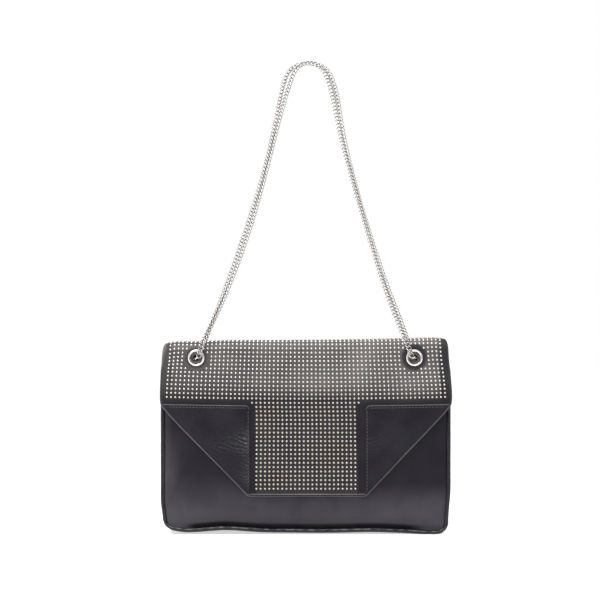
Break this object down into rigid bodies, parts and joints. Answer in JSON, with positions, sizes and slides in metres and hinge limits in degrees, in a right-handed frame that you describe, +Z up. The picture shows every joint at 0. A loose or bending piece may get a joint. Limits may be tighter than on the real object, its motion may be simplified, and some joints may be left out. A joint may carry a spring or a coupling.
{
  "type": "chain shoulder bag",
  "caption": "Soft rectangular shoulder bag with a studded front flap, stitched corner overlays, round eyelets and a looped chain strap that folds down.",
  "frame": {"origin": "under the middle of the flat base the bag stands on", "axes": "+X along the bag to the right as seen from the front, +Y from front to back, +Z up"},
  "size_m": [0.2808, 0.0739, 0.4553],
  "materials": {
    "calf_leather": "satin smooth black calf",
    "overlay_leather": "fine grained black leather",
    "lining": "matt black lining cloth",
    "stiffener": "pressed fibre board",
    "polished_metal": "polished nickel",
    "stud_metal": "nickel with a pale warm tarnish",
    "plain_metal": "plain plated steel"
  },
  "bodies": {
    "bag": {"front_panel": "calf_leather", "back_panel": "calf_leather", "gusset": "calf_leather", "front_piping": "calf_leather", "back_piping": "calf_leather", "front_lining": "lining", "back_lining": "lining", "gusset_lining": "lining", "slip_pocket": "lining", "front_board": "stiffener", "back_board": "stiffener", "base_board": "stiffener", "back_eyelet_left": "polished_metal", "back_eyelet_right": "polished_metal", "chain_inner_left": "polished_metal", "chain_inner_right": "polished_metal", "back_eyelet_washer_left": "plain_metal", "back_eyelet_washer_right": "plain_metal", "snap_socket": "plain_metal", "snap_socket_washer": "plain_metal"},
    "flap": {"flap_outer": "calf_leather", "flap_reinforcement": "stiffener", "flap_lining": "lining", "flap_corner_left": "overlay_leather", "flap_corner_right": "overlay_leather", "studs_band": "stud_metal", "studs_top": "stud_metal", "studs_tongue": "stud_metal", "front_eyelet_left": "polished_metal", "front_eyelet_right": "polished_metal", "front_eyelet_washer_left": "plain_metal", "front_eyelet_washer_right": "plain_metal", "snap_plate": "plain_metal", "snap_plate_washer": "plain_metal"},
    "front_strand": {"chain_front": "polished_metal"},
    "back_strand": {"chain_back": "polished_metal"}
  },
  "joints": [
    {"name": "flap_open", "type": "hinge", "parent": "bag", "child": "flap", "pos_m": [0, 0.02795, 0.18495], "axis": [-1, 0, 0], "range_deg": [0, 125], "deforming": ["chain_inner_left", "chain_inner_right"]},
    {"name": "front_strand_swing", "type": "hinge", "parent": "flap", "child": "front_strand", "pos_m": [0, -0.0355, 0.169], "axis": [1, 0, 0], "range_deg": [0, 126]},
    {"name": "back_strand_swing", "type": "hinge", "parent": "bag", "child": "back_strand", "pos_m": [0, 0.0342, 0.159], "axis": [-1, 0, 0], "range_deg": [0, 125]}
  ],
  "couplings": [
    {"joint": "back_strand_swing", "follows": "flap_open", "ratio": 1}
  ]
}
